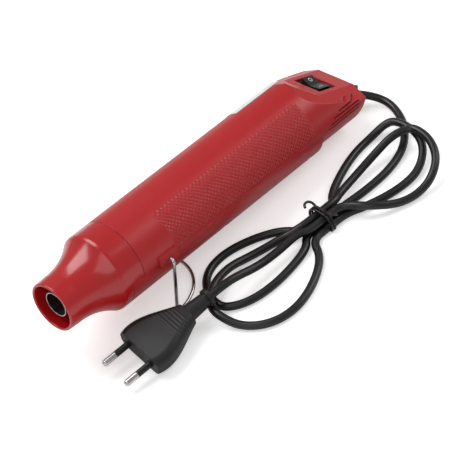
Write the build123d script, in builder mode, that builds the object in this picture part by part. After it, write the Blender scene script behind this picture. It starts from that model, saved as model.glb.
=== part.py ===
from build123d import *
from math import cos, pi, radians, sin, tan
import os

os.makedirs("parts", exist_ok=True)

# An embossing heat tool standing on its wire stand and the rear of its belly.
# Lengths are in millimetres. The nozzle points along +X, the floor is at zero height and the
# origin is on the floor under the middle of the tool. Places on the tool are measured in its own
# side plane: back from the nozzle's front, up from its axis, and out towards the near side (+Y).

# General
clearance = 0.3
running_fit = 0.05
overrun = 5.0

# Housing
body_length = 245.0
body_radius = 25.0
shell_wall = 2.0
tail_length = 42.0
belly_length = body_length - tail_length
belly_step = 3.4
nose_up = 5.0
seam_upper = 49.3
seam_lower = 39.9
spigot_length = 4.5
spigot_wall = 1.5

# Nozzle cap
nozzle_radius = 15.6
nozzle_wall = 1.8
lip_radius = 0.9
straight_length = 8.0
straight_radius = 16.0
flare_middle = 23.0
flare_middle_radius = 18.6
cone_length = 33.7
cone_radius = 24.6
shoulder_length = 1.6

# Switch panel and tail
panel_length = 30.7
panel_front = body_length - panel_length
panel_front_height = 16.7
panel_slope = 19.5
panel_half_width = 13.8
panel_side_slope = 24.0
crest_gap = 9.8
crest_length = panel_front - crest_gap
end_slope = 20.0
end_wall = 4.0

# Switch
switch_gap = 12.2
switch_place = panel_front + switch_gap
well_width = 20.6
well_length = 15.6
bezel_sink = 1.2
bezel_thickness = 1.4
bezel_width = 20.0
bezel_length = 15.0
switch_body_width = 18.4
switch_body_length = 12.4
switch_depth = 10.5
rocker_width = 15.0
rocker_length = 9.4
rocker_throw = 7.0
rocker_rise = 1.6
rocker_depth = 5.0
rocker_pin_radius = 1.0
rocker_pin_reach = 0.8
rocker_foot_share = 0.6
tab_width = 4.8
tab_thickness = 0.8
tab_length = 5.5
tab_pitch = 6.0

# Side vents
vent_pitch = 2.45
vent_height = 1.2
vent_top = 8.2
vent_gap = 8.0
vent_end = body_length - vent_gap
vent_length = 11.6
vent_first = vent_end - vent_length
vent_count = 5
vent_lag_shares = [0.0, 0.35, 0.67, 0.86, 1.0]
vent_lag = 17.1
vent_depth = 3.4

# Stand
stand_pivot = 68.2
wire_diameter = 2.0
stand_half_width = 29.5
stand_lean = 7.2
stand_bend = 2.4
stand_corner = 1.6
lug_length = 15.0
lug_height = 8.5
lug_reach = 26.4
lug_round = 2.0
stand_end_length = 7.3
stand_end_reach = stand_half_width - stand_end_length
stand_toe = 2.4

# Heating element
tube_recess = 3.4
tube_radius = 7.9
tube_wall = 0.6
tube_straight = 32.0
heater_start = 44.0
heater_end = 112.0
heater_radius = 14.0
sleeve_wall = 0.5
sleeve_margin = 2.0
board_thickness = 1.0
board_tab_length = 5.0
coil_wire = 0.8
coil_radius = 9.2
coil_pitch = 4.0
coil_turns = 10
fuse_radius = 1.6
fuse_length = 9.0
rib_thickness = 2.0
rib_front = 60.0
rib_rear = 106.0

# Fan and motor
fan_start = 128.0
fan_length = 11.0
fan_hub_radius = 7.0
fan_tip_radius = 20.0
fan_blade_thickness = 1.2
fan_blade_chord = 11.5
fan_blade_pitch = 35.0
fan_blades = 7
fan_gap = 1.0
duct_wall = 1.5
motor_start = 144.0
motor_length = 32.0
motor_radius = 12.0
motor_wall = 1.0
motor_cap_length = 3.0
shaft_radius = 1.15
shaft_stub = 2.0
armature_radius = 7.6
armature_length = 18.0
commutator_radius = 3.0
commutator_length = 4.0
magnet_gap = 0.5
magnet_span = 140.0
mount_sleeve_wall = 1.5
mount_sleeve_length = 16.0
spoke_width = 4.0
spoke_count = 4
post_radius = 1.2
post_length = 2.5
post_spacing = 14.0
board_disc_radius = 11.0
board_disc_thickness = 1.2
diode_radius = 1.35
diode_length = 5.0
diode_pitch = 4.0
diode_count = 4

# Shell screws and bosses
screw_front = 120.0
screw_tail_gap = 49.0
screw_places = [screw_front, body_length - screw_tail_gap]
screw_offset = 18.6
boss_radius = 3.2
screw_radius = 1.3
screw_head_radius = 2.6
screw_head_height = 1.8
screw_bite = 7.0
screw_drop = 9.0
cross_length = 3.0
cross_width = 0.8
cross_depth = 0.8

# Rating label
label_length = 38.0
label_tail_gap = 39.0
label_end = body_length - label_tail_gap
label_start = label_end - label_length
label_angle = 135.0
label_span = 44.0
label_thickness = 0.25

# Cable boot and mains cord
cord_diameter = 5.0
boot_height = -6.0
boot_neck_radius = 3.8
boot_radius = 3.4
boot_disc_radius = 5.5
boot_disc_thickness = 1.0
boot_last_thickness = 2.0
boot_pitch = 3.9
boot_discs = 4
boot_straight = 3.0
boot_bend_radius = 15.0
boot_tail = 2.2
boot_flange_thickness = 1.5
boot_bend = 46.0
inner_drop_back = 4.5
inner_cord_length = 30.0
inner_cord_bend = 6.0
inner_slope_length = 21.0
inner_level_height = -13.5
clamp_screw_bite = 6.0
clamp_length = 6.0
clamp_width = 17.0
clamp_thickness = 2.5
clamp_screw_spacing = 11.5
clamp_screw_radius = 1.2
clamp_post_radius = 2.6

# Plug
plug_x = 102.0
plug_y = 40.5
plug_height = 10.4
plug_heading = -8.0
plug_pitch = 4.0
plug_roll = 10.0
pin_spacing = 19.0
pin_radius = 2.0
pin_length = 19.0
sleeve_length = 10.0
sleeve_radius = 1.9
pin_root = 6.0
plug_width = 35.3
plug_thickness = 13.7
plug_front_width = 33.0
plug_edge_share = 0.42
plug_bulge = 7.0
plug_neck_front_radius = 5.4
pin_sleeve_wall = 0.25
plug_shoulder = 17.0
plug_shoulder_width = 31.0
plug_waist = 36.0
plug_waist_width = 14.0
plug_waist_thickness = 11.0
plug_neck = 50.0
plug_neck_radius = 4.4
plug_collar_radius = 5.6
plug_collar_length = 2.4

# Mains cord on the floor: a lead from the boot, a tied hank of two lobes, a tail to the plug
lead_points = [(-136.9, 12.3, 6.7), (-140.0, 24.0, 4.0), (-135.0, 37.0, 2.6), (-125.0, 49.0, 2.6),
               (-117.0, 55.0, 2.6)]
tail_points = [(-34.0, 55.5, 7.4), (-20.0, 54.0, 7.4), (-2.0, 53.4, 5.2), (16.0, 51.6, 6.8),
               (32.0, 50.0, 12.8)]
tail_end_run = 9.0
tie_x = -38.0
tie_y = 56.0
tie_heading = -6.0
hank_height = 10.0
near_lobe = (5.5, 52.9, -4.0, 41.5, 28.0, 12.0)
far_lobe = (-81.0, 63.0, -10.0, 45.0, 30.0, 14.0)
waist_length = 30.0
waist_width = 16.0
tie_width = 3.0
tie_thickness = 0.8
tie_wire = 1.0
tie_curl_reach = 8.0
tie_curl_rise = 3.5

# Where the housing stands: on the belly's rear end at one end and the stand at the other
tilt = radians(nose_up)
end_drop = tan(radians(end_slope))
panel_drop = tan(radians(panel_slope))
panel_end_height = panel_front_height - (body_length - panel_front) * panel_drop
nose_height = belly_length * sin(tilt) + body_radius * cos(tilt)
front_reach = nozzle_radius * sin(tilt)
rear_reach = body_length * cos(tilt) + panel_end_height * sin(tilt)
nose_x = (rear_reach - front_reach) / 2

side = Plane(origin=(nose_x, 0, nose_height), x_dir=(-cos(tilt), 0, -sin(tilt)), z_dir=(0, 1, 0))


def place(back, up=0.0, near=0.0):
    # a point of the tool, from its side plane
    return side.from_local_coords((back, up, near))


def heading(back, up=0.0, near=0.0):
    # a direction of the tool, from its side plane
    return place(back, up, near) - place(0)


def across(back):
    # the plane across the axis at a distance behind the nozzle: near side right, up, facing forward
    return Plane(origin=place(back), x_dir=(0, 1, 0), z_dir=heading(-1))


def level(up):
    # a plane level with the axis: back right, near side up, facing down
    return Plane(origin=place(0, up), x_dir=heading(1), z_dir=heading(0, -1))


axis = Axis(place(0), heading(1))


def ring(start, end, outer, inner=0.0):
    # a plain round piece about the tool's axis
    with BuildPart() as turned:
        with BuildSketch(across(start)):
            Circle(outer)
            if inner > 0:
                Circle(inner, mode=Mode.SUBTRACT)
        extrude(amount=start - end)
    return turned.part


# Nozzle cap
def cap_form(inset):
    # the cap's turned outline, drawn in by a wall; the flare stops at the collar's shoulder
    far = seam_upper + (overrun if inset else 0)
    near = -overrun if inset else 0
    collar = body_radius - inset
    front = [(near, 0), (near, nozzle_radius - inset)]
    if inset:
        front.append((0, nozzle_radius - inset))
    with BuildPart() as form:
        with BuildSketch(side):
            with BuildLine():
                Polyline(*front, (straight_length, straight_radius - inset))
                ThreePointArc((straight_length, straight_radius - inset),
                              (flare_middle, flare_middle_radius - inset),
                              (cone_length, cone_radius - inset))
                Polyline((cone_length, cone_radius - inset), (cone_length + shoulder_length, collar),
                         (far, collar), (far, 0), (near, 0))
            make_face()
        revolve(axis=axis)
    return form.part


with BuildPart() as nozzle_cap:
    add(cap_form(0))
    add(cap_form(nozzle_wall), mode=Mode.SUBTRACT)
    rims = nozzle_cap.edges().filter_by(GeomType.CIRCLE).sort_by(Axis(place(0), heading(1)))
    lip_edges = [e for e in rims if abs(side.to_local_coords(e.center()).X) < lip_radius]
    fillet(lip_edges, lip_radius - running_fit)
    with BuildSketch(side):
        with Locations(((seam_lower + seam_upper) / 2 + overrun / 2, -body_radius / 2 - overrun / 2)):
            Rectangle(seam_upper - seam_lower + overrun, body_radius + overrun)
    extrude(amount=body_radius + overrun, both=True, mode=Mode.SUBTRACT)
nozzle_cap.part.label = "nozzle_cap"
export_step(nozzle_cap.part, "parts/nozzle_cap.step")


# Housing
def roof_cutter(inset):
    # what is taken off above the switch panel: a flat strip, falling away on both sides
    drop = inset / cos(radians(panel_slope))
    long = 2 * body_radius
    with BuildPart() as cutter:
        with BuildSketch(side):
            with BuildLine():
                Polyline((crest_length - inset, body_radius - drop + inset),
                         (panel_front - inset, panel_front_height - drop),
                         (panel_front + long, panel_front_height - drop - long * panel_drop),
                         (panel_front + long, long), (crest_length - inset, long),
                         (crest_length - inset, body_radius - drop + inset))
            make_face()
        extrude(amount=long, both=True)
        for hand in (1, -1):
            rise = tan(radians(panel_side_slope))
            edge = panel_half_width - inset / 2
            start = place(panel_front - inset, panel_front_height - drop, hand * edge)
            run = heading(1, -panel_drop)
            fall = heading(0, -rise, hand)
            normal = run.cross(fall) * hand * -1
            facet = Plane(origin=start, x_dir=run, z_dir=normal)
            with BuildSketch(facet):
                Rectangle(2 * long, 4 * body_radius)
            extrude(amount=long)
    return cutter.part


def end_cutter(inset):
    # what is taken off behind the slanting end face
    top = place(body_length, panel_end_height)
    back_face = Plane(origin=top, x_dir=(0, 1, 0), z_dir=heading(cos(radians(end_slope)),
                                                                 -sin(radians(end_slope))))
    with BuildPart() as cutter:
        with BuildSketch(back_face.offset(-inset)):
            Rectangle(6 * body_radius, 6 * body_radius)
        extrude(amount=3 * body_radius)
    return cutter.part


def housing_form(inset, end_inset):
    # the housing's outer shape, drawn in by a wall
    start = seam_lower if inset == 0 else seam_lower - spigot_length - overrun
    with BuildPart() as form:
        add(ring(start, body_length + overrun, body_radius - inset))
        with BuildSketch(across(belly_length)):
            Rectangle(4 * body_radius, 4 * body_radius)
            with Locations((0, belly_step)):
                Circle(body_radius - inset, mode=Mode.SUBTRACT)
            with Locations((0, body_radius)):
                Rectangle(4 * body_radius, 2 * body_radius, mode=Mode.SUBTRACT)
        extrude(amount=-(body_length - belly_length + 2 * overrun), mode=Mode.SUBTRACT)
        add(roof_cutter(inset), mode=Mode.SUBTRACT)
        add(end_cutter(end_inset), mode=Mode.SUBTRACT)
    return form.part


panel_normal = heading(sin(radians(panel_slope)), cos(radians(panel_slope)))
switch_height = panel_front_height - (switch_place - panel_front) * panel_drop
panel = Plane(origin=place(switch_place, switch_height), x_dir=(0, 1, 0), z_dir=panel_normal)

boot_back = body_length - (panel_end_height - boot_height) * end_drop
boot_aim = heading(cos(radians(end_slope)), -sin(radians(end_slope)))
boot_base = place(boot_back, boot_height)
boot_plane = Plane(origin=boot_base, x_dir=(0, 1, 0), z_dir=boot_aim)

bezel_depth = bezel_sink + bezel_thickness
# the rocker's pin runs fore and aft under the bezel; at rest one side of the rocker is pressed
rocker_centre = panel.from_local_coords((0, 0, -bezel_depth - rocker_pin_radius))
rocker_aim = heading(cos(radians(panel_slope)), -sin(radians(panel_slope)))
rocker_rest = (panel.z_dir * cos(radians(rocker_throw)) + Vector(0, 1, 0) * sin(radians(rocker_throw)))
rocker_pin_plane = Plane(origin=rocker_centre, x_dir=rocker_rest.cross(rocker_aim), z_dir=rocker_aim)
rocker_middle = bezel_thickness + rocker_pin_radius + rocker_rise / 2
rocker_edge = rocker_middle + rocker_width / 2 * tan(radians(rocker_throw)) + rocker_rise / 2
rocker_foot = rocker_pin_radius * 2

spigot_radius = body_radius - nozzle_wall - clearance
ledge_depth = bezel_depth + shell_wall
clamp_back = boot_back - inner_cord_length + clamp_length / 2 + clearance
clamp_floor = inner_level_height + cord_diameter / 2 + running_fit


def fittings():
    # what stands inside the housing: ribs, screw bosses, the switch's seat and the clamp's posts
    with BuildPart() as inner:
        for back in (rib_front, rib_rear):
            with BuildSketch(across(back)):
                Circle(body_radius)
                Circle(heater_radius + clearance, mode=Mode.SUBTRACT)
            extrude(amount=-rib_thickness)
        with BuildSketch(level(0)):
            with Locations([(back, hand * screw_offset) for back in screw_places for hand in (1, -1)]):
                Circle(boss_radius)
        extrude(amount=body_radius, both=True)
        with BuildSketch(panel.offset(-ledge_depth)):
            Rectangle(well_width + 2 * shell_wall, well_length + 2 * shell_wall)
        extrude(amount=ledge_depth - shell_wall / 2)
        with BuildSketch(level(clamp_floor)):
            with Locations([(clamp_back, hand * clamp_screw_spacing / 2) for hand in (1, -1)]):
                Circle(clamp_post_radius)
        extrude(amount=body_radius)
        add(housing_form(shell_wall / 2, end_wall / 2), mode=Mode.INTERSECT)
    return inner.part


def whole_housing():
    # both halves as one, with every hollow and hole, before it is parted
    with BuildPart() as whole:
        add(housing_form(0, 0))
        add(housing_form(shell_wall, end_wall), mode=Mode.SUBTRACT)
        add(fittings())
        # lugs that carry the stand
        for hand in (1, -1):
            with BuildSketch(side.offset(hand * lug_reach)):
                with Locations((stand_pivot, 0)):
                    RectangleRounded(lug_length, lug_height, lug_round)
            extrude(amount=-hand * (lug_reach - body_radius + 2 * shell_wall))
        with BuildSketch(side):
            with Locations((stand_pivot, 0)):
                Circle(wire_diameter / 2 + running_fit)
        extrude(amount=body_radius + overrun, both=True, mode=Mode.SUBTRACT)
        # the switch's well and the hole for its body
        with BuildSketch(panel.offset(-bezel_depth)):
            Rectangle(well_width, well_length)
        extrude(amount=bezel_depth + overrun, mode=Mode.SUBTRACT)
        with BuildSketch(panel.offset(-ledge_depth - overrun)):
            Rectangle(switch_body_width + 2 * clearance, switch_body_length + 2 * clearance)
        extrude(amount=ledge_depth + overrun, mode=Mode.SUBTRACT)
        # slots that let the fan breathe, on both sides
        for hand in (1, -1):
            with BuildSketch(side.offset(hand * (body_radius - vent_depth - shell_wall))):
                for row in range(vent_count):
                    start = vent_first - vent_lag * vent_lag_shares[row]
                    with Locations(((start + vent_end) / 2, vent_top - row * vent_pitch)):
                        SlotOverall(vent_end - start, vent_height)
            extrude(amount=hand * (vent_depth + overrun), mode=Mode.SUBTRACT)
        # the boot's hole through the end wall
        with BuildSketch(boot_plane.offset(-end_wall - overrun)):
            Circle(boot_neck_radius + clearance / 2)
        extrude(amount=end_wall + 2 * overrun, mode=Mode.SUBTRACT)
        # screw holes from below: a clear hole and a sunk head under the parting plane
        with BuildSketch(level(0)):
            with Locations([(back, hand * screw_offset) for back in screw_places for hand in (1, -1)]):
                Circle(screw_radius + running_fit)
        extrude(amount=screw_drop + overrun, mode=Mode.SUBTRACT)
        with BuildSketch(level(0)):
            with Locations([(back, hand * screw_offset) for back in screw_places for hand in (1, -1)]):
                Circle(screw_radius)
        extrude(amount=-screw_bite - clearance, mode=Mode.SUBTRACT)
        with BuildSketch(level(-screw_drop)):
            with Locations([(back, hand * screw_offset) for back in screw_places for hand in (1, -1)]):
                Circle(screw_head_radius + clearance)
        extrude(amount=overrun + body_radius, mode=Mode.SUBTRACT)
        # the clamp's screw holes
        with BuildSketch(level(clamp_floor)):
            with Locations([(clamp_back, hand * clamp_screw_spacing / 2) for hand in (1, -1)]):
                Circle(clamp_screw_radius)
        extrude(amount=clamp_screw_bite + clearance, mode=Mode.SUBTRACT)
    return whole.part


housing = whole_housing()


def spigot(seam):
    # the reduced front that slides into the cap
    sleeve = ring(seam - spigot_length, seam + spigot_length / 2, spigot_radius, spigot_radius - spigot_wall)
    collar = ring(seam + clearance, seam + spigot_length / 2, body_radius - shell_wall / 2,
                  spigot_radius - spigot_wall)
    return sleeve + collar


with BuildPart() as upper_shell:
    add(housing)
    add(ring(seam_lower - overrun, seam_upper + clearance, body_radius + overrun), mode=Mode.SUBTRACT)
    add(spigot(seam_upper))
    split(bisect_by=level(0), keep=Keep.BOTTOM)
upper_shell.part.label = "upper_shell"
export_step(upper_shell.part, "parts/upper_shell.step")

with BuildPart() as lower_shell:
    add(housing)
    add(ring(seam_lower - overrun, seam_lower + clearance, body_radius + overrun), mode=Mode.SUBTRACT)
    add(spigot(seam_lower))
    split(bisect_by=level(0), keep=Keep.TOP)
lower_shell.part.label = "lower_shell"
export_step(lower_shell.part, "parts/lower_shell.step")

# Shell screws, driven up from below
with BuildPart() as shell_screws:
    spots = [(back, hand * screw_offset) for back in screw_places for hand in (1, -1)]
    with BuildSketch(level(screw_bite)):
        with Locations(spots):
            Circle(screw_radius)
    extrude(amount=screw_bite + screw_drop + clearance / 2)
    with BuildSketch(level(-screw_drop)):
        with Locations(spots):
            Circle(screw_head_radius)
    extrude(amount=screw_head_height)
    with BuildSketch(level(-screw_drop - screw_head_height)):
        with Locations(spots):
            Rectangle(cross_length, cross_width)
            Rectangle(cross_width, cross_length)
    extrude(amount=-cross_depth, mode=Mode.SUBTRACT)
shell_screws.part.label = "shell_screws"
export_step(shell_screws.part, "parts/shell_screws.step")

# Rating label, curved to the shell high on the far side
with BuildPart() as rating_label:
    add(ring(label_start, label_end, body_radius + label_thickness, body_radius))
    with BuildSketch(across(label_start)):
        with BuildLine():
            half = radians(label_span / 2)
            middle = radians(label_angle)
            reach = 2 * body_radius
            Polyline((0, 0), (reach * cos(middle - half), reach * sin(middle - half)),
                     (reach * cos(middle), reach * sin(middle)),
                     (reach * cos(middle + half), reach * sin(middle + half)), (0, 0))
        make_face()
    extrude(amount=label_start - label_end, mode=Mode.INTERSECT)
rating_label.part.label = "rating_label"
export_step(rating_label.part, "parts/rating_label.step")

# Heating element
with BuildPart() as outlet_tube:
    with BuildSketch(side):
        with BuildLine():
            Polyline((tube_recess, tube_radius), (tube_straight, tube_radius), (heater_start, heater_radius),
                     (heater_end, heater_radius), (heater_end, heater_radius - tube_wall),
                     (heater_start, heater_radius - tube_wall), (tube_straight, tube_radius - tube_wall),
                     (tube_recess, tube_radius - tube_wall), (tube_recess, tube_radius))
        make_face()
    revolve(axis=axis)
outlet_tube.part.label = "outlet_tube"
export_step(outlet_tube.part, "parts/outlet_tube.step")

sleeve_outer = heater_radius - tube_wall - clearance
sleeve_inner = sleeve_outer - sleeve_wall
sleeve_start = heater_start + sleeve_margin
sleeve_end = heater_end - sleeve_margin
with BuildPart() as mica_sleeve:
    add(ring(sleeve_start, sleeve_end, sleeve_outer, sleeve_inner))
mica_sleeve.part.label = "mica_sleeve"
export_step(mica_sleeve.part, "parts/mica_sleeve.step")

board_half = coil_radius - coil_wire / 2 - clearance
board_end_half = sleeve_inner - clearance
board_start = sleeve_start + sleeve_margin
board_end = sleeve_end - sleeve_margin
board_middle = (board_start + board_end) / 2
coil_start = board_middle - coil_turns * coil_pitch / 2


def mica_board(plane, slot_front):
    # a flat board with wide ends, half slotted so that two of them cross
    with BuildPart() as board:
        with BuildSketch(plane):
            with Locations((board_middle, 0)):
                Rectangle(board_end - board_start, 2 * board_half)
            with Locations((board_start + board_tab_length / 2, 0), (board_end - board_tab_length / 2, 0)):
                Rectangle(board_tab_length, 2 * board_end_half)
        extrude(amount=board_thickness / 2, both=True)
        slot = (board_end - board_start) / 2 + clearance
        middle = board_start + slot / 2 if slot_front else board_end - slot / 2
        with BuildSketch(plane):
            with Locations((middle, 0)):
                Rectangle(slot, board_thickness + clearance)
        extrude(amount=board_thickness, both=True, mode=Mode.SUBTRACT)
    return board.part


with BuildPart() as mica_board_a:
    add(mica_board(side, True))
mica_board_a.part.label = "mica_board_a"
export_step(mica_board_a.part, "parts/mica_board_a.step")

with BuildPart() as mica_board_b:
    add(mica_board(level(0), False))
mica_board_b.part.label = "mica_board_b"
export_step(mica_board_b.part, "parts/mica_board_b.step")

with BuildPart() as heater_coil:
    with BuildLine() as winding:
        coil_base = place(coil_start)
        Helix(coil_pitch, coil_turns * coil_pitch, coil_radius, center=coil_base, direction=heading(1))
    with BuildSketch(Plane(origin=winding.line @ 0, z_dir=winding.line % 0)):
        Circle(coil_wire / 2)
    sweep(path=winding.line, is_frenet=True)
heater_coil.part.label = "heater_coil"
export_step(heater_coil.part, "parts/heater_coil.step")

# Thermal fuse, in the angle of the two boards
fuse_place = board_thickness / 2 + clearance + fuse_radius
with BuildPart() as thermal_fuse:
    with BuildSketch(across(board_middle + fuse_length)):
        with Locations((fuse_place, fuse_place)):
            Circle(fuse_radius)
    extrude(amount=-fuse_length)
thermal_fuse.part.label = "thermal_fuse"
export_step(thermal_fuse.part, "parts/thermal_fuse.step")

# Motor: a steel can closed in front, two magnets, an armature on the shaft and a plastic cap
motor_end = motor_start + motor_length
with BuildPart() as motor_can:
    add(ring(motor_start, motor_end, motor_radius))
    add(ring(motor_start + motor_wall, motor_end + overrun, motor_radius - motor_wall), mode=Mode.SUBTRACT)
    add(ring(motor_start - overrun, motor_end, shaft_radius + running_fit), mode=Mode.SUBTRACT)
motor_can.part.label = "motor_can"
export_step(motor_can.part, "parts/motor_can.step")

armature_start = motor_start + motor_wall + fan_gap
magnet_inner = armature_radius + magnet_gap
with BuildPart() as motor_magnets:
    add(ring(armature_start, armature_start + armature_length, motor_radius - motor_wall, magnet_inner))
    for hand in (1, -1):
        with BuildSketch(across(armature_start)):
            with BuildLine():
                half = radians(90 - magnet_span / 2)
                Polyline((0, 0), (hand * 2 * motor_radius * cos(half), 2 * motor_radius * sin(half)),
                         (hand * 2 * motor_radius * cos(half), -2 * motor_radius * sin(half)), (0, 0))
            make_face()
        extrude(amount=-armature_length, mode=Mode.SUBTRACT)
motor_magnets.part.label = "motor_magnets"
export_step(motor_magnets.part, "parts/motor_magnets.step")

cap_start = motor_end - motor_cap_length
board_disc_start = motor_end + post_length
with BuildPart() as motor_end_cap:
    add(ring(cap_start, motor_end, motor_radius - motor_wall, shaft_radius + running_fit))
    with BuildSketch(across(motor_end)):
        with Locations((0, post_spacing / 2), (0, -post_spacing / 2)):
            Circle(post_radius)
    extrude(amount=-post_length)
motor_end_cap.part.label = "motor_end_cap"
export_step(motor_end_cap.part, "parts/motor_end_cap.step")

with BuildPart() as motor_shaft:
    add(ring(fan_start + fan_gap, motor_end + shaft_stub / 2, shaft_radius))
motor_shaft.part.label = "motor_shaft"
export_step(motor_shaft.part, "parts/motor_shaft.step")

with BuildPart() as motor_armature:
    add(ring(armature_start, armature_start + armature_length, armature_radius, shaft_radius))
    add(ring(armature_start + armature_length, armature_start + armature_length + commutator_length,
             commutator_radius, shaft_radius))
motor_armature.part.label = "motor_armature"
export_step(motor_armature.part, "parts/motor_armature.step")

# Fan on the shaft's front end
with BuildPart() as fan_impeller:
    add(ring(fan_start, fan_start + fan_length, fan_hub_radius))
    for number in range(fan_blades):
        turn = radians(360 * number / fan_blades)
        out = heading(0, sin(turn), cos(turn))
        blade_plane = Plane(origin=place(fan_start + fan_length / 2), x_dir=heading(1), z_dir=out)
        with BuildSketch(blade_plane.offset(fan_hub_radius - fan_blade_thickness)):
            Rectangle(fan_blade_chord, fan_blade_thickness, rotation=fan_blade_pitch)
        extrude(amount=fan_tip_radius - fan_hub_radius + fan_blade_thickness)
    add(ring(fan_start + fan_gap, fan_start + fan_length + overrun, shaft_radius), mode=Mode.SUBTRACT)
fan_impeller.part.label = "fan_impeller"
export_step(fan_impeller.part, "parts/fan_impeller.step")

# Mount that carries the motor: a duct round the fan, spokes and a sleeve
duct_radius = body_radius - shell_wall - clearance
mount_sleeve_inner = motor_radius + running_fit
mount_sleeve_outer = mount_sleeve_inner + mount_sleeve_wall
with BuildPart() as motor_mount:
    add(ring(fan_start - fan_gap, motor_start + spoke_width, duct_radius, duct_radius - duct_wall))
    add(ring(motor_start, motor_start + mount_sleeve_length, mount_sleeve_outer, mount_sleeve_inner))
    for number in range(spoke_count):
        turn = radians(45 + 360 * number / spoke_count)
        out = heading(0, sin(turn), cos(turn))
        spoke_plane = Plane(origin=place(motor_start + spoke_width / 2), x_dir=heading(1), z_dir=out)
        with BuildSketch(spoke_plane.offset(mount_sleeve_outer - mount_sleeve_wall / 2)):
            Rectangle(spoke_width, mount_sleeve_wall)
        extrude(amount=duct_radius - duct_wall / 2 - mount_sleeve_outer + mount_sleeve_wall / 2)
motor_mount.part.label = "motor_mount"
export_step(motor_mount.part, "parts/motor_mount.step")

# Rectifier board on the motor cap's posts, with its diodes
with BuildPart() as rectifier_board:
    add(ring(board_disc_start, board_disc_start + board_disc_thickness, board_disc_radius))
rectifier_board.part.label = "rectifier_board"
export_step(rectifier_board.part, "parts/rectifier_board.step")

with BuildPart() as rectifier_diodes:
    for number in range(diode_count):
        near = (number - (diode_count - 1) / 2) * diode_pitch
        back = board_disc_start + board_disc_thickness + diode_radius
        with BuildSketch(Plane(origin=place(back, -diode_length / 2, near), z_dir=heading(0, 1))):
            Circle(diode_radius)
        extrude(amount=diode_length)
rectifier_diodes.part.label = "rectifier_diodes"
export_step(rectifier_diodes.part, "parts/rectifier_diodes.step")

# Rocker switch, sunk in the panel's well
with BuildPart() as switch_body:
    with BuildSketch(panel.offset(-bezel_depth)):
        Rectangle(bezel_width, bezel_length)
    extrude(amount=bezel_thickness)
    with BuildSketch(panel.offset(-bezel_depth)):
        Rectangle(switch_body_width, switch_body_length)
    extrude(amount=-switch_depth)
    with BuildSketch(panel.offset(-bezel_sink)):
        Rectangle(rocker_width + 2 * clearance, rocker_length + 2 * clearance)
    extrude(amount=-rocker_depth - bezel_thickness, mode=Mode.SUBTRACT)
    with BuildSketch(rocker_pin_plane):
        Circle(rocker_pin_radius + running_fit)
    extrude(amount=rocker_length / 2 + rocker_pin_reach + 2 * clearance, both=True, mode=Mode.SUBTRACT)
switch_body.part.label = "switch_body"
export_step(switch_body.part, "parts/switch_body.step")

with BuildPart() as rocker:
    with BuildSketch(rocker_pin_plane):
        with BuildLine():
            half = rocker_width / 2
            Polyline((-half, rocker_edge), (0, rocker_middle), (half, rocker_edge),
                     (half * rocker_foot_share, -rocker_foot), (-half * rocker_foot_share, -rocker_foot),
                     (-half, rocker_edge))
        make_face()
    extrude(amount=rocker_length / 2, both=True)
    with BuildSketch(rocker_pin_plane):
        Circle(rocker_pin_radius)
    extrude(amount=rocker_length / 2 + rocker_pin_reach, both=True)
rocker.part.label = "rocker"
export_step(rocker.part, "parts/rocker.step")

with BuildPart() as switch_tabs:
    with BuildSketch(panel.offset(-bezel_depth - switch_depth)):
        with GridLocations(tab_pitch, tab_pitch, 3, 1):
            Rectangle(tab_thickness, tab_width)
    extrude(amount=-tab_length)
switch_tabs.part.label = "switch_tabs"
export_step(switch_tabs.part, "parts/switch_tabs.step")

# Wire stand: a bail hinged in the lugs, its foot a half ring flat on the floor
lean = radians(stand_lean + nose_up)
foot_height = wire_diameter / 2
pivot = place(stand_pivot)
leg_length = (pivot.Z - foot_height) / cos(lean)
foot = Vector(pivot.X + leg_length * sin(lean), 0, foot_height)


def half_bail(hand):
    # the points of one leg, from its end in the lug to the start of the foot's half ring
    out = hand * stand_half_width
    end = pivot + Vector(0, hand * stand_end_reach, 0)
    knee = pivot + Vector(0, out, 0)
    heel = foot + Vector(0, out, 0)
    toe = heel - Vector(stand_toe, 0, 0)
    return [end, knee, heel, toe]


with BuildPart() as stand_wire:
    with BuildLine() as bail:
        near_leg = half_bail(1)
        far_leg = half_bail(-1)
        FilletPolyline(*near_leg, radius=[stand_bend, stand_corner])
        ThreePointArc(near_leg[-1], foot - Vector(stand_toe + stand_half_width, 0, 0), far_leg[-1])
        FilletPolyline(*far_leg, radius=[stand_bend, stand_corner])
    with BuildSketch(Plane(origin=near_leg[0], z_dir=(0, 1, 0))):
        Circle(wire_diameter / 2)
    sweep(path=bail.wires()[0])
stand_wire.part.label = "stand_wire"
export_step(stand_wire.part, "parts/stand_wire.step")

# Cable boot: a curved, ribbed strain relief held in the end wall
boot_tangent = boot_bend_radius * tan(radians(boot_bend / 2))
boot_turn = boot_plane.from_local_coords((0, 0, boot_straight + boot_tangent))
boot_side = Vector(0, 1, 0)
boot_out = (boot_aim * cos(radians(boot_bend)) + boot_side * sin(radians(boot_bend))).normalized()
boot_end = boot_turn + boot_out * (boot_tail + boot_tangent)
boot_in = boot_plane.from_local_coords((0, 0, -end_wall - boot_flange_thickness))
with BuildPart() as cable_boot:
    with BuildLine() as spine:
        FilletPolyline(boot_in, boot_turn, boot_end, radius=boot_bend_radius)
    with BuildSketch(Plane(origin=boot_in, z_dir=boot_aim)):
        Circle(boot_radius)
    boot_path = spine.wires()[0]
    sweep(path=boot_path)
    with BuildSketch(boot_plane.offset(-end_wall)):
        Circle(boot_neck_radius)
    extrude(amount=end_wall)
    with BuildSketch(boot_plane.offset(-end_wall - clearance)):
        Circle(boot_disc_radius)
    extrude(amount=-boot_flange_thickness + clearance)
    total = boot_path.length
    for number in range(boot_discs):
        along = total - boot_last_thickness / 2 - number * boot_pitch
        thickness = boot_disc_thickness if number else boot_last_thickness
        rib = Plane(origin=boot_path @ (along / total), z_dir=boot_path % (along / total))
        with BuildSketch(rib):
            Circle(boot_disc_radius)
        extrude(amount=thickness / 2, both=True)
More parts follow.
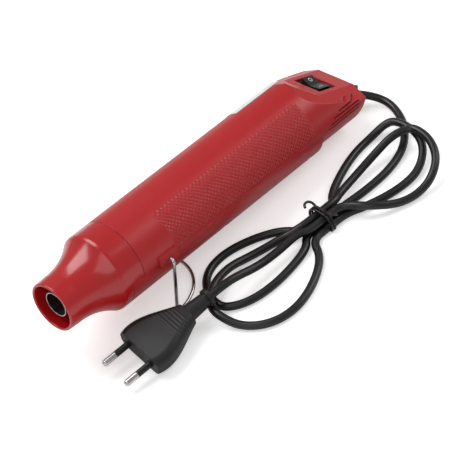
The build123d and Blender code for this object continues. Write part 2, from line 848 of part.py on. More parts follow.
cable_boot.part.label = "cable_boot"
export_step(cable_boot.part, "parts/cable_boot.step")

# The cord's end inside, and its clamp
inner_turn = boot_in - boot_aim * inner_drop_back
inner_level = place(boot_back - inner_slope_length, inner_level_height)
inner_end = place(boot_back - inner_cord_length - clamp_length, inner_level_height)
with BuildPart() as cord_inner:
    with BuildLine() as inner_route:
        FilletPolyline(boot_in, inner_turn, inner_level, inner_end, radius=inner_cord_bend)
    with BuildSketch(Plane(origin=boot_in, z_dir=boot_aim * -1)):
        Circle(cord_diameter / 2)
    sweep(path=inner_route.wires()[0])
cord_inner.part.label = "cord_inner"
export_step(cord_inner.part, "parts/cord_inner.step")

with BuildPart() as clamp_bar:
    with BuildSketch(level(clamp_floor)):
        with Locations((clamp_back, 0)):
            Rectangle(clamp_length, clamp_width)
            with Locations((0, clamp_screw_spacing / 2), (0, -clamp_screw_spacing / 2)):
                Circle(clamp_screw_radius + running_fit, mode=Mode.SUBTRACT)
    extrude(amount=-clamp_thickness)
clamp_bar.part.label = "clamp_bar"
export_step(clamp_bar.part, "parts/clamp_bar.step")

with BuildPart() as clamp_screws:
    spots = [(clamp_back, hand * clamp_screw_spacing / 2) for hand in (1, -1)]
    with BuildSketch(level(clamp_floor + clamp_thickness)):
        with Locations(spots):
            Circle(clamp_screw_radius)
    extrude(amount=clamp_thickness + clamp_screw_bite)
    with BuildSketch(level(clamp_floor + clamp_thickness)):
        with Locations(spots):
            Circle(screw_head_radius)
    extrude(amount=-screw_head_height)
clamp_screws.part.label = "clamp_screws"
export_step(clamp_screws.part, "parts/clamp_screws.step")

# Plug: flat two-pin mains plug, lying on its lower edge with its neck on the cord
turned = radians(plug_heading)
pitched = radians(plug_pitch)
rolled = radians(plug_roll)
plug_aim = Vector(cos(turned) * cos(pitched), sin(turned) * cos(pitched), -sin(pitched))
plug_left = Vector(-sin(turned), cos(turned), 0)
plug_up = plug_aim.cross(plug_left)
plug_across = plug_left * cos(rolled) - plug_up * sin(rolled)
plug_face = Plane(origin=(plug_x, plug_y, plug_height), x_dir=plug_across, z_dir=plug_aim)
# local x runs across the plug, local y runs down through it, local z runs out along the pins


def plug_section(back, width, thickness):
    with BuildSketch(plug_face.offset(-back)) as section:
        RectangleRounded(width, thickness, thickness * plug_edge_share)
    return section.sketch


with BuildPart() as plug_body:
    add(plug_section(0, plug_front_width, plug_thickness))
    add(plug_section(plug_bulge, plug_width, plug_thickness))
    add(plug_section(plug_shoulder, plug_shoulder_width, plug_thickness))
    add(plug_section(plug_waist, plug_waist_width, plug_waist_thickness))
    loft(ruled=False)
    with BuildSketch(plug_face.offset(-plug_waist + plug_collar_length)):
        Circle(plug_neck_front_radius)
    with BuildSketch(plug_face.offset(-plug_neck)):
        Circle(plug_neck_radius)
    loft()
    with BuildSketch(plug_face.offset(-plug_neck)):
        Circle(plug_collar_radius)
    extrude(amount=-plug_collar_length)
    for hand in (1, -1):
        with BuildSketch(plug_face):
            with Locations((hand * pin_spacing / 2, 0)):
                Circle(sleeve_radius)
        extrude(amount=-pin_root, mode=Mode.SUBTRACT)
plug_body.part.label = "plug_body"
export_step(plug_body.part, "parts/plug_body.step")

with BuildPart() as plug_pins:
    for hand in (1, -1):
        with BuildSketch(plug_face.offset(-pin_root)):
            with Locations((hand * pin_spacing / 2, 0)):
                Circle(sleeve_radius)
        extrude(amount=pin_root)
        with BuildSketch(plug_face):
            with Locations((hand * pin_spacing / 2, 0)):
                Circle(pin_radius - pin_sleeve_wall)
        extrude(amount=sleeve_length)
        with BuildSketch(plug_face.offset(sleeve_length)):
            with Locations((hand * pin_spacing / 2, 0)):
                Circle(pin_radius)
        extrude(amount=pin_length - sleeve_length)
    tips = plug_pins.faces().filter_by(GeomType.PLANE).sort_by(Axis(plug_face.origin, plug_aim))[-2:]
    fillet(tips.edges(), pin_radius - clearance)
plug_pins.part.label = "plug_pins"
export_step(plug_pins.part, "parts/plug_pins.step")

with BuildPart() as pin_sleeves:
    for hand in (1, -1):
        with BuildSketch(plug_face):
            with Locations((hand * pin_spacing / 2, 0)):
                Circle(pin_radius)
                Circle(pin_radius - pin_sleeve_wall, mode=Mode.SUBTRACT)
        extrude(amount=sleeve_length)
pin_sleeves.part.label = "pin_sleeves"
export_step(pin_sleeves.part, "parts/pin_sleeves.step")

# Mains cord: plain tubes where it lies free, one closed solid where it is folded up and tied
arc_share = 0.45


def cord_route(name, points):
    # tangent arcs as large as the runs allow, between the straight runs
    radii = []
    for before, corner, after in zip(points, points[1:], points[2:]):
        first = Vector(*corner) - Vector(*before)
        second = Vector(*after) - Vector(*corner)
        half_turn = radians(first.get_angle(second) / 2)
        radii.append(arc_share * min(first.length, second.length) / tan(half_turn))
    with BuildLine() as route:
        FilletPolyline(*points, radius=radii)
    lengths = round(route.wires()[0].length, 1)
    print(name, "radii", [round(radius, 1) for radius in radii], "length", lengths)
    return route.wires()[0]


def cord_tube(name, points):
    route = cord_route(name, points)
    with BuildPart() as tube:
        with BuildSketch(Plane(origin=route @ 0, z_dir=route % 0)):
            Circle(cord_diameter / 2)
        sweep(path=route)
    share = tube.part.volume / (pi * (cord_diameter / 2) ** 2 * route.length)
    print(name, "volume by its section and length", round(share, 4))
    return tube.part


collar_back = plug_face.from_local_coords((0, 0, -plug_neck - plug_collar_length))
tail_turn = collar_back - plug_aim * tail_end_run
with BuildPart() as cord_lead:
    add(cord_tube("cord_lead", [tuple(boot_end)] + lead_points))
cord_lead.part.label = "cord_lead"
export_step(cord_lead.part, "parts/cord_lead.step")

with BuildPart() as cord_tail:
    add(cord_tube("cord_tail", tail_points + [tuple(tail_turn), tuple(collar_back)]))
cord_tail.part.label = "cord_tail"
export_step(cord_tail.part, "parts/cord_tail.step")

tie_plane = Plane(origin=(tie_x, tie_y, 0), x_dir=(cos(radians(tie_heading)), sin(radians(tie_heading)), 0))
with BuildPart() as cord_hank:
    for lobe_x, lobe_y, lobe_heading, long_half, short_half, band in (near_lobe, far_lobe):
        with BuildSketch():
            with Locations((lobe_x, lobe_y)):
                Ellipse(long_half, short_half, rotation=lobe_heading)
                Ellipse(long_half - band, short_half - band, rotation=lobe_heading, mode=Mode.SUBTRACT)
        extrude(amount=hank_height)
    with BuildSketch(tie_plane):
        Rectangle(waist_length, waist_width)
    extrude(amount=hank_height)
    with BuildSketch(tie_plane):
        Rectangle(tie_width + 2 * clearance, 4 * waist_width)
        Rectangle(tie_width + 2 * clearance, waist_width, mode=Mode.SUBTRACT)
    extrude(amount=hank_height, mode=Mode.SUBTRACT)
    with BuildSketch(tie_plane):
        Rectangle(tie_width + 2 * clearance, waist_width)
    extrude(amount=tie_thickness + running_fit, mode=Mode.SUBTRACT)
    add(cord_lead.part, mode=Mode.SUBTRACT)
    add(cord_tail.part, mode=Mode.SUBTRACT)
cord_hank.part.label = "cord_hank"
export_step(cord_hank.part, "parts/cord_hank.step")

# Twist tie round the hank's waist, its two ends curling up
tie_aim = tie_plane.x_dir
tie_side = tie_plane.y_dir
tie_section = Plane(origin=tie_plane.origin - tie_aim * (tie_width / 2), x_dir=tie_side, z_dir=tie_aim)
with BuildPart() as twist_tie:
    with BuildSketch(tie_section):
        with Locations((0, (hank_height + tie_thickness) / 2)):
            Rectangle(waist_width + 2 * tie_thickness, hank_height + tie_thickness)
        with Locations((0, hank_height / 2 + tie_thickness / 2)):
            Rectangle(waist_width, hank_height - tie_thickness, mode=Mode.SUBTRACT)
    extrude(amount=tie_width)
    for hand in (1, -1):
        root = tie_plane.origin + Vector(0, 0, hank_height + tie_wire)
        corner = root + tie_side * hand * tie_curl_reach / 2 + Vector(0, 0, tie_curl_rise)
        tip = root + tie_side * hand * tie_curl_reach + tie_aim * hand * tie_curl_reach / 2
        with BuildLine() as curl:
            FilletPolyline(root, corner, tip + Vector(0, 0, tie_curl_rise / 2), radius=tie_wire * 2)
        with BuildSketch(Plane(origin=curl.wires()[0] @ 0, z_dir=curl.wires()[0] % 0)):
            Circle(tie_wire)
        sweep(path=curl.wires()[0])
twist_tie.part.label = "twist_tie"
export_step(twist_tie.part, "parts/twist_tie.step")
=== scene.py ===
import math

import bpy
from mathutils import Matrix, Vector


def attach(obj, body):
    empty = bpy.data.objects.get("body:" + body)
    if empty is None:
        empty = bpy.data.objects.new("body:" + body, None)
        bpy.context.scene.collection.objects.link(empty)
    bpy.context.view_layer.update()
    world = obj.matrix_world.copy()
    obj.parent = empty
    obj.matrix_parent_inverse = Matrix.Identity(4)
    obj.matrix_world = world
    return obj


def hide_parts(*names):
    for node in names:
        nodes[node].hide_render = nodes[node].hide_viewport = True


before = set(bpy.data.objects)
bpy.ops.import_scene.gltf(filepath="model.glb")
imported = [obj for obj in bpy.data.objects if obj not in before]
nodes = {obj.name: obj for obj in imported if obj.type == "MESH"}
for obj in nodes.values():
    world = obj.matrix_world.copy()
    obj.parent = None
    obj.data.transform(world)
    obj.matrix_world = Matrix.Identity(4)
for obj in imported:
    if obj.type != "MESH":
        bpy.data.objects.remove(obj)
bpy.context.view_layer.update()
mm = 0.001

# The tool's own frame: back along the axis from the nozzle's front, up from it, out to the near side
noseUp = math.radians(5.0)
nosePoint = Vector((121.608, 0.0, 42.597)) * mm
backAim = Vector((-math.cos(noseUp), 0.0, -math.sin(noseUp)))
upAim = Vector((-math.sin(noseUp), 0.0, math.cos(noseUp)))


def linear(code):
    # an sRGB hex colour as the linear values that the shaders take
    parts = [int(code[i:i + 2], 16) / 255 for i in (1, 3, 5)]
    parts = [p / 12.92 if p <= 0.04045 else ((p + 0.055) / 1.055) ** 2.4 for p in parts]
    return (*parts, 1.0)


def addNode(tree, kind, inputs=None, **settings):
    node = tree.nodes.new(kind)
    for key, value in settings.items():
        setattr(node, key, value)
    for key, value in (inputs or {}).items():
        if isinstance(value, bpy.types.NodeSocket):
            tree.links.new(value, node.inputs[key])
        else:
            node.inputs[key].default_value = value
    return node


def maths(tree, operation, *values, clamp=False):
    node = addNode(tree, "ShaderNodeMath", dict(enumerate(values)), operation=operation, use_clamp=clamp)
    return node.outputs[0]


def along(tree, position, origin, aim):
    # the distance in millimetres of the shaded point from an origin along a direction
    offset = addNode(tree, "ShaderNodeVectorMath", {0: position, 1: origin}, operation="SUBTRACT").outputs[0]
    dot = addNode(tree, "ShaderNodeVectorMath", {0: offset, 1: aim}, operation="DOT_PRODUCT")
    return maths(tree, "MULTIPLY", dot.outputs["Value"], 1000.0)


def window(tree, value, low, high, soft):
    # 1 between two limits, falling off softly outside them
    rise = maths(tree, "DIVIDE", maths(tree, "SUBTRACT", value, low), soft, clamp=True)
    fall = maths(tree, "DIVIDE", maths(tree, "SUBTRACT", high, value), soft, clamp=True)
    return maths(tree, "MULTIPLY", rise, fall)


def diamondGrip(tree, position, settings):
    # raised diamonds on both flanks of the shells, in a patch with soft borders
    back = along(tree, position, nosePoint, backAim)
    up = along(tree, position, nosePoint, upAim)
    near = maths(tree, "ABSOLUTE", along(tree, position, Vector((0, 0, 0)), Vector((0, 1, 0))))
    angle = maths(tree, "ARCTAN2", up, near)
    arc = maths(tree, "MULTIPLY", angle, settings["radius"] * settings["stretch"])
    ridges = []
    for hand in (1.0, -1.0):
        lane = maths(tree, "ADD", back, maths(tree, "MULTIPLY", arc, hand))
        ridges.append(maths(tree, "PINGPONG", lane, settings["pitch"] / 2))
    peak = maths(tree, "MINIMUM", ridges[0], ridges[1])
    rounded = maths(tree, "DIVIDE", peak, settings["pitch"] / 2)
    patch = window(tree, back, settings["start"], settings["end"], settings["soft"])
    flank = window(tree, angle, math.radians(settings["low"]), math.radians(settings["high"]),
                   settings["softAngle"])
    return maths(tree, "MULTIPLY", rounded, maths(tree, "MULTIPLY", patch, flank))


def gripGrooves(tree, position, settings):
    # grooves across the plug, between its wide front and its neck
    back = along(tree, position, settings["origin"], settings["aim"])
    wave = maths(tree, "PINGPONG", back, settings["pitch"] / 2)
    groove = maths(tree, "DIVIDE", wave, settings["pitch"] / 2)
    sharp = maths(tree, "SMOOTH_MIN", groove, settings["flat"], settings["blend"])
    patch = window(tree, back, settings["start"], settings["end"], settings["soft"])
    return maths(tree, "MULTIPLY", sharp, patch)


reliefs = {"diamondGrip": diamondGrip, "gripGrooves": gripGrooves}


def material(name, s):
    # colour drift, a fine grain and a worn roughness, in object space with sizes in millimetres
    made = bpy.data.materials.new(name)
    made.use_nodes = True
    tree = made.node_tree
    tree.nodes.clear()
    position = addNode(tree, "ShaderNodeTexCoord").outputs["Object"]
    drift = addNode(tree, "ShaderNodeTexNoise", {"Vector": position, "Scale": 1000 / s["driftSize"], "Detail": 3.0})
    grain = addNode(tree, "ShaderNodeTexNoise", {"Vector": position, "Scale": 1000 / s["grainSize"], "Detail": 4.0})
    mix = addNode(tree, "ShaderNodeMix", {"Factor": drift.outputs[0], 6: linear(s["dark"]), 7: linear(s["light"])},
                  data_type="RGBA")
    rough = addNode(tree, "ShaderNodeMapRange", {"Value": drift.outputs[0], "From Min": 0.3, "From Max": 0.7,
                                                 "To Min": s["rough"][0], "To Max": s["rough"][1]})
    edge = addNode(tree, "ShaderNodeBevel", {"Radius": s.get("edge", 0.3) * mm}, samples=6)
    bump = addNode(tree, "ShaderNodeBump", {"Height": grain.outputs[0], "Distance": s["grainDepth"] * mm,
                                            "Strength": 1.0, "Normal": edge.outputs[0]})
    if "relief" in s:
        height = reliefs[s["relief"]["form"]](tree, position, s["relief"])
        bump = addNode(tree, "ShaderNodeBump", {"Height": height, "Distance": s["relief"]["depth"] * mm,
                                                "Strength": 1.0, "Normal": bump.outputs[0]})
    shader = addNode(tree, "ShaderNodeBsdfPrincipled", {
        "Base Color": mix.outputs[2], "Roughness": rough.outputs[0], "Metallic": s.get("metal", 0.0),
        "Coat Weight": s.get("coat", 0.0), "Coat Roughness": s.get("coatRough", 0.1),
        "Specular IOR Level": s.get("specular", 0.5), "Normal": bump.outputs[0]})
    output = addNode(tree, "ShaderNodeOutputMaterial")
    tree.links.new(shader.outputs[0], output.inputs[0])
    return made


plugAim = Vector((0.987856, -0.138834, -0.069756))
plugFace = Vector((102.0, 40.5, 10.4)) * mm
gripPatch = {"form": "diamondGrip", "depth": 0.45, "radius": 25.0, "stretch": 1.0, "pitch": 3.0,
             "start": 73.0, "end": 197.0, "soft": 3.0, "softAngle": 0.09, "low": 4.0, "high": 64.0}
plugGrooves = {"form": "gripGrooves", "depth": 0.5, "origin": plugFace, "aim": -plugAim, "pitch": 2.3,
               "start": 20.0, "end": 33.0, "soft": 0.6, "flat": 0.6, "blend": 0.2}
finishes = {
    "polishedRedAbs": {"dark": "#A81015", "light": "#BC181D", "rough": (0.20, 0.28), "driftSize": 60.0,
                       "grainSize": 0.6, "grainDepth": 0.006, "coat": 0.35, "coatRough": 0.08, "edge": 0.5},
    "mouldedRedAbs": {"dark": "#A60F14", "light": "#BA171C", "rough": (0.33, 0.42), "driftSize": 70.0,
                      "grainSize": 0.5, "grainDepth": 0.012, "coat": 0.12, "coatRough": 0.25,
                      "relief": gripPatch, "edge": 0.9},
    "mouldedBlackNylon": {"dark": "#0C0C0D", "light": "#161617", "rough": (0.28, 0.38), "driftSize": 20.0,
                          "grainSize": 0.35, "grainDepth": 0.008},
    "mouldedCharcoalVinyl": {"dark": "#0E0D10", "light": "#19171A", "rough": (0.42, 0.55), "driftSize": 18.0,
                             "grainSize": 0.4, "grainDepth": 0.02, "relief": plugGrooves, "edge": 0.6},
    "extrudedBlackVinyl": {"dark": "#0E0E10", "light": "#1A1A1C", "rough": (0.30, 0.42), "driftSize": 25.0,
                           "grainSize": 0.5, "grainDepth": 0.012},
    "nickelPlatedWire": {"dark": "#B4B3B2", "light": "#D2D1CF", "rough": (0.14, 0.24), "driftSize": 9.0,
                         "grainSize": 0.3, "grainDepth": 0.003, "metal": 1.0},
    "drawnStainlessTube": {"dark": "#A8A49F", "light": "#CBC8C4", "rough": (0.18, 0.30), "driftSize": 12.0,
                           "grainSize": 0.3, "grainDepth": 0.004, "metal": 1.0},
    "nickelPlatedBrassPin": {"dark": "#B9B8B6", "light": "#DAD9D7", "rough": (0.12, 0.22), "driftSize": 8.0,
                             "grainSize": 0.3, "grainDepth": 0.002, "metal": 1.0},
    "zincPlatedSteel": {"dark": "#7E7C79", "light": "#9B9996", "rough": (0.30, 0.45), "driftSize": 6.0,
                        "grainSize": 0.3, "grainDepth": 0.006, "metal": 1.0},
    "pressedMica": {"dark": "#8A7A58", "light": "#B3A37E", "rough": (0.45, 0.65), "driftSize": 5.0,
                    "grainSize": 0.8, "grainDepth": 0.03},
    "oxidisedHeaterWire": {"dark": "#3F3A36", "light": "#6B635C", "rough": (0.35, 0.55), "driftSize": 4.0,
                           "grainSize": 0.3, "grainDepth": 0.005, "metal": 1.0},
    "glazedCeramic": {"dark": "#D8D4C8", "light": "#EAE7DE", "rough": (0.20, 0.32), "driftSize": 6.0,
                      "grainSize": 0.5, "grainDepth": 0.005},
    "sinteredFerrite": {"dark": "#1B1B1C", "light": "#2C2C2E", "rough": (0.55, 0.70), "driftSize": 6.0,
                        "grainSize": 0.5, "grainDepth": 0.03},
    "mouldedWhiteNylon": {"dark": "#CBCAC5", "light": "#E0DFDA", "rough": (0.40, 0.52), "driftSize": 12.0,
                          "grainSize": 0.4, "grainDepth": 0.01},
    "phenolicLaminate": {"dark": "#7A5A2E", "light": "#9C7740", "rough": (0.45, 0.60), "driftSize": 4.0,
                         "grainSize": 0.6, "grainDepth": 0.015},
    "stampedBrass": {"dark": "#A98A3C", "light": "#C9A955", "rough": (0.22, 0.36), "driftSize": 5.0,
                     "grainSize": 0.3, "grainDepth": 0.004, "metal": 1.0},
    "blankPolyesterFilm": {"dark": "#DAD8D4", "light": "#EBE9E6", "rough": (0.24, 0.34), "driftSize": 15.0,
                           "grainSize": 0.5, "grainDepth": 0.006, "coat": 0.2},
    "paleScreenInk": {"dark": "#BFBFBD", "light": "#D6D6D4", "rough": (0.40, 0.50), "driftSize": 3.0,
                      "grainSize": 0.2, "grainDepth": 0.01},
}
materials = {name: material(name, s) for name, s in finishes.items()}
dressed = {
    "polishedRedAbs": ["nozzle_cap"],
    "mouldedRedAbs": ["upper_shell", "lower_shell"],
    "mouldedBlackNylon": ["switch_body", "rocker", "pin_sleeves", "motor_mount", "clamp_bar", "rectifier_diodes"],
    "mouldedCharcoalVinyl": ["plug_body"],
    "extrudedBlackVinyl": ["cable_boot", "cord_inner"],
    "nickelPlatedWire": ["stand_wire"],
    "drawnStainlessTube": ["outlet_tube", "motor_shaft"],
    "nickelPlatedBrassPin": ["plug_pins"],
    "zincPlatedSteel": ["shell_screws", "clamp_screws", "motor_can", "motor_armature"],
    "pressedMica": ["mica_sleeve", "mica_board_a", "mica_board_b"],
    "oxidisedHeaterWire": ["heater_coil"],
    "glazedCeramic": ["thermal_fuse"],
    "sinteredFerrite": ["motor_magnets"],
    "mouldedWhiteNylon": ["motor_end_cap", "fan_impeller"],
    "phenolicLaminate": ["rectifier_board"],
    "stampedBrass": ["switch_tabs"],
    "blankPolyesterFilm": ["rating_label"],
}
for finish, names in dressed.items():
    for name in names:
        for materialSlot in nodes[name].material_slots:
            materialSlot.material = materials[finish]
print("materials", len(materials))


# Camera, solved from the photograph
cameraPlace = Vector((564.6, 741.0, 856.3)) * mm
cameraRight = Vector((-0.65493, 0.73253, -0.18566))
cameraUp = Vector((-0.60556, -0.36176, 0.70882))
cameraAim = Vector((-0.45207, -0.57666, -0.68051))
lens = {"sensor": 36.0, "focalPixels": 2133.6, "photoPixels": 470, "nearest": 0.01, "renderPixels": 940}
cameraData = bpy.data.cameras.new("camera")
cameraData.sensor_width = lens["sensor"]
cameraData.lens = lens["focalPixels"] / lens["photoPixels"] * lens["sensor"]
cameraData.clip_start = lens["nearest"]
camera = bpy.data.objects.new("camera", cameraData)
bpy.context.collection.objects.link(camera)
turn = Matrix((cameraRight, cameraUp, -cameraAim)).transposed().to_4x4()
camera.matrix_world = Matrix.Translation(cameraPlace) @ turn
scene = bpy.context.scene
scene.camera = camera
scene.render.resolution_x = lens["renderPixels"]
scene.render.resolution_y = lens["renderPixels"]


# Mains cord: a lead, four loops through the tie and a tail, one smooth line of route points
cordDiameter = 5.0
strandPitch = 5.75
tieReach = 14.0
tiePlace = Vector((-38.0, 56.0, 0.0))
tieHeading = math.radians(-6.0)
tieAim = Vector((math.cos(tieHeading), math.sin(tieHeading), 0.0))
tieSide = Vector((-math.sin(tieHeading), math.cos(tieHeading), 0.0))
lead = [(-131.53, 6.163, 9.169), (-136.9, 12.3, 6.7), (-140.0, 24.0, 4.0), (-135.0, 37.0, 2.6),
        (-125.0, 49.0, 2.6), (-111.0, 58.0, 2.6), (-93.0, 62.0, 2.6), (-72.0, 61.0, 2.6)]
tail = [(-19.0, 54.0, 8.6), (-3.0, 53.2, 7.6), (14.0, 51.6, 8.5), (31.0, 50.0, 13.8), (41.34, 49.03, 14.68),
        (50.237, 47.775, 14.055)]
lanes = {1: (0.0, 0.0), 2: (-1.0, 0.0), 3: (1.0, 0.0), 4: (-0.5, 0.88), 5: (0.5, 0.88)}
loopAngles = [60, 85, 110, 135, 160, 180, 200, 225, 250, 275, 300]
loops = {
    "first": {"heading": -6.0, "reach": 84.0, "out": 19.0, "back": 37.0, "heights": [2.5] * 11},
    "second": {"heading": 188.0, "reach": 88.0, "out": 18.0, "back": 40.0,
               "heights": [2.5, 2.5, 2.5, 2.5, 7.8, 8.2, 7.9, 7.1, 2.5, 2.5, 2.5]},
    "third": {"heading": 0.0, "reach": 92.0, "out": 42.0, "back": 26.0,
              "heights": [2.5, 2.5, 2.5, 2.5, 2.5, 6.5, 7.7, 8.1, 7.7, 2.8, 3.4]},
    "fourth": {"heading": 176.0, "reach": 84.0, "out": 14.0, "back": 42.0,
               "heights": [5.4, 4.8, 7.1, 12.1, 12.8, 13.1, 12.8, 10.7, 4.5, 2.5, 8.8]},
}


def throughTie(lane, way):
    # three points straight through the tie
    side, layer = lanes[lane]
    points = [tiePlace + tieAim * s * way + tieSide * side * strandPitch for s in (-tieReach, 0.0, tieReach)]
    return [(p.x, p.y, cordDiameter / 2 + layer * strandPitch) for p in points]


def loopPoints(s):
    heading = math.radians(s["heading"])
    out = Vector((math.cos(heading), math.sin(heading), 0.0))
    over = Vector((-math.sin(heading), math.cos(heading), 0.0))
    points = []
    for degrees, height in zip(loopAngles, s["heights"]):
        t = math.radians(degrees)
        width = s["out"] if degrees <= 180 else s["back"]
        p = tiePlace + out * s["reach"] * (1 - math.cos(t)) / 2 + over * width * math.sin(t) * math.sin(t / 2)
        points.append((p.x, p.y, height))
    return points


route = lead + throughTie(1, 1) + loopPoints(loops["first"]) + throughTie(2, -1) + loopPoints(loops["second"])
route += throughTie(3, 1) + loopPoints(loops["third"]) + throughTie(4, -1) + loopPoints(loops["fourth"])
route += throughTie(5, 1) + tail


def wire(name, points, radius, finish, cyclic=False):
    curve = bpy.data.curves.new(name, "CURVE")
    curve.dimensions = "3D"
    curve.resolution_u = 8
    curve.bevel_depth = radius * mm
    curve.bevel_resolution = 6
    curve.use_fill_caps = True
    spline = curve.splines.new("NURBS")
    spline.points.add(len(points) - 1)
    for point, place in zip(spline.points, points):
        point.co = (place[0] * mm, place[1] * mm, place[2] * mm, 1.0)
    spline.order_u = 3
    spline.use_endpoint_u = not cyclic
    spline.use_cyclic_u = cyclic
    curve.materials.append(materials[finish])
    made = bpy.data.objects.new(name, curve)
    bpy.context.collection.objects.link(made)
    return made


mainsCord = wire("mainsCord", route, cordDiameter / 2, "extrudedBlackVinyl")
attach(mainsCord, "housing")
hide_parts("cord_lead", "cord_hank", "cord_tail")


# Twist tie: two turns of coated wire round the bundle, twisted together, the ends curling away
def tiePoint(reach, side, height):
    p = tiePlace + tieAim * reach + tieSide * side
    return (p.x, p.y, height)


tieSettings = {"halfWidth": 9.6, "low": 0.9, "top": 11.4, "wire": 0.8}
tiePieces = []
for number, shift in enumerate((-1.0, 1.0)):
    w, low, top = tieSettings["halfWidth"], tieSettings["low"], tieSettings["top"]
    around = [tiePoint(shift, 0, top), tiePoint(shift, 5.5, top), tiePoint(shift, w, 7.0), tiePoint(shift, w, 2.2),
              tiePoint(shift, w - 2.0, low), tiePoint(shift, 0, low), tiePoint(shift, 2.0 - w, low),
              tiePoint(shift, -w, 2.2), tiePoint(shift, -w, 7.0), tiePoint(shift, -5.5, top)]
    tiePieces.append(wire("tieTurn" + str(number), around, tieSettings["wire"], "mouldedBlackNylon", cyclic=True))
curls = {
    "tieCurlNear": [(0.0, 3.0, 12.4), (1.0, 6.5, 13.6), (0.0, 9.5, 14.4), (-2.4, 11.4, 13.4), (-4.0, 10.4, 11.8),
                    (-3.0, 8.6, 12.0)],
    "tieCurlFar": [(0.0, -3.0, 12.4), (-1.0, -6.5, 13.8), (1.0, -9.8, 14.6), (3.6, -10.2, 13.2), (4.2, -8.2, 12.6)],
}
for name, points in curls.items():
    tiePieces.append(wire(name, [tiePoint(*p) for p in points], tieSettings["wire"], "mouldedBlackNylon"))
twistSettings = {"radius": 0.75, "turn": 90, "start": -3.5, "step": 0.9, "height": 12.9, "points": 9,
                 "thin": 0.85}
for hand in (1, -1):
    twist = [tiePoint(twistSettings["radius"] * hand * math.cos(math.radians(twistSettings["turn"] * k)),
                      twistSettings["start"] + twistSettings["step"] * k,
                      twistSettings["height"]
                      + twistSettings["radius"] * hand * math.sin(math.radians(twistSettings["turn"] * k)))
             for k in range(twistSettings["points"])]
    tiePieces.append(wire("tieTwist" + ("A" if hand > 0 else "B"), twist, tieSettings["wire"] * twistSettings["thin"],
                          "mouldedBlackNylon"))
for piece in tiePieces:
    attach(piece, "housing")
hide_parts("twist_tie")
print("cord points", len(route))


def meshPiece(name, vertices, faces, finish, body, smooth=True):
    mesh = bpy.data.meshes.new(name)
    mesh.from_pydata([tuple(v) for v in vertices], [], faces)
    mesh.validate()
    mesh.materials.append(materials[finish])
    made = bpy.data.objects.new(name, mesh)
    bpy.context.collection.objects.link(made)
    for polygon in mesh.polygons:
        polygon.use_smooth = smooth
    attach(made, body)
    return made


# On and off marks, printed on the rocker's two slopes
rockerPin = Vector((-103.616, 0.0, 31.913)) * mm
rockerAim = Vector((-0.909961, 0.0, -0.414693))
panelOut = Vector((-0.414693, 0.0, 0.909961))
rest = math.radians(7.0)
rockerOut = panelOut * math.cos(rest) + Vector((0, 1, 0)) * math.sin(rest)
rockerSide = rockerOut.cross(rockerAim)
rockerTop = {"middle": 3.2, "halfLength": 7.5, "proud": 0.8}
rise = (rockerTop["middle"] + rockerTop["halfLength"] * math.tan(rest) + rockerTop["proud"]
        - rockerTop["middle"]) / rockerTop["halfLength"]


def markPoint(side, fore, lift):
    height = rockerTop["middle"] + rise * abs(side) + lift
    return rockerPin + (rockerSide * side + rockerAim * fore + rockerOut * height) * mm


bar = {"side": -4.4, "halfWide": 0.28, "halfLong": 1.7, "lift": 0.06}
corners = [(-1, -1), (1, -1), (1, 1), (-1, 1)]
barVertices = [markPoint(bar["side"] + a * bar["halfWide"], b * bar["halfLong"], lift)
               for lift in (0.0, bar["lift"]) for a, b in corners]
barFaces = [(3, 2, 1, 0), (4, 5, 6, 7), (0, 1, 5, 4), (1, 2, 6, 5), (2, 3, 7, 6), (3, 0, 4, 7)]
meshPiece("onMark", barVertices, barFaces, "paleScreenInk", "switch_rocker", smooth=False)
ringMark = {"side": 4.4, "outer": 1.5, "inner": 1.0, "lift": 0.06, "steps": 40}
ringVertices = []
for k in range(ringMark["steps"]):
    a = 2 * math.pi * k / ringMark["steps"]
    for radius, lift in ((ringMark["outer"], 0.0), (ringMark["outer"], ringMark["lift"]),
                         (ringMark["inner"], ringMark["lift"]), (ringMark["inner"], 0.0)):
        ringVertices.append(markPoint(ringMark["side"] + radius * math.cos(a), radius * math.sin(a), lift))
ringFaces = []
for k in range(ringMark["steps"]):
    for j in range(4):
        n = (k + 1) % ringMark["steps"]
        ringFaces.append((4 * k + j, 4 * n + j, 4 * n + (j + 1) % 4, 4 * k + (j + 1) % 4))
meshPiece("offMark", ringVertices, ringFaces, "paleScreenInk", "switch_rocker", smooth=False)
print("switch marks")


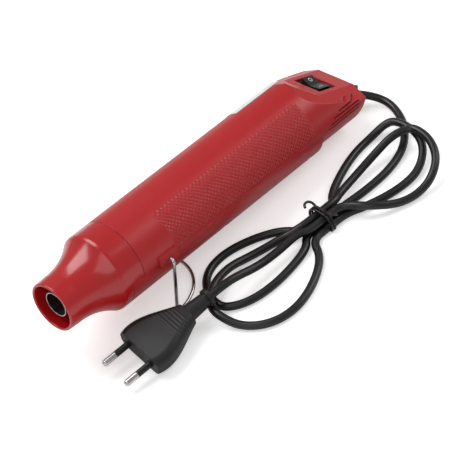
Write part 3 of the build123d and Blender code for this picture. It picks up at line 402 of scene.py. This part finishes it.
# Floor, light and view
stageSettings = {"floorRough": 0.7, "floorGlow": 0.42, "floorReach": 6, "worldStrength": 0.36, "samples": 128}
# white paper: the camera sees it near white, and the object's shadow stays on it
floorMaterial = bpy.data.materials.new("paperSweep")
floorMaterial.use_nodes = True
floorTree = floorMaterial.node_tree
floorShader = floorTree.nodes["Principled BSDF"]
floorShader.inputs["Base Color"].default_value = linear("#F6F6F6")
floorShader.inputs["Roughness"].default_value = stageSettings["floorRough"]
seen = addNode(floorTree, "ShaderNodeLightPath").outputs["Is Camera Ray"]
floorShader.inputs["Emission Color"].default_value = linear("#FFFFFF")
glow = maths(floorTree, "MULTIPLY", seen, stageSettings["floorGlow"])
floorTree.links.new(glow, floorShader.inputs["Emission Strength"])
floorMesh = bpy.data.meshes.new("floor")
r = stageSettings["floorReach"]
floorMesh.from_pydata([(-r, -r, 0), (r, -r, 0), (r, r, 0), (-r, r, 0)], [], [(0, 1, 2, 3)])
floorMesh.materials.append(floorMaterial)
floor = bpy.data.objects.new("floor", floorMesh)
bpy.context.collection.objects.link(floor)

lamps = {
    "keySoftbox": {"place": (0.15, -0.55, 1.1), "size": 0.8, "watts": 9.0},
    "fillSoftbox": {"place": (0.9, 0.6, 0.8), "size": 0.9, "watts": 3.0},
    "rearSoftbox": {"place": (-0.9, 0.4, 0.7), "size": 0.6, "watts": 3.5},
}
for name, s in lamps.items():
    light = bpy.data.lights.new(name, "AREA")
    light.size = s["size"]
    light.energy = s["watts"]
    lamp = bpy.data.objects.new(name, light)
    lamp.location = s["place"]
    lamp.rotation_euler = (Vector((0, 0.02, 0.02)) - Vector(s["place"])).to_track_quat("-Z", "Y").to_euler()
    bpy.context.collection.objects.link(lamp)
world = bpy.data.worlds.new("studio")
world.use_nodes = True
world.node_tree.nodes["Background"].inputs[0].default_value = linear("#FFFFFF")
world.node_tree.nodes["Background"].inputs[1].default_value = stageSettings["worldStrength"]
scene.world = world
scene.view_settings.view_transform = "Standard"
scene.render.engine = "CYCLES"
scene.cycles.samples = stageSettings["samples"]
print("stage")
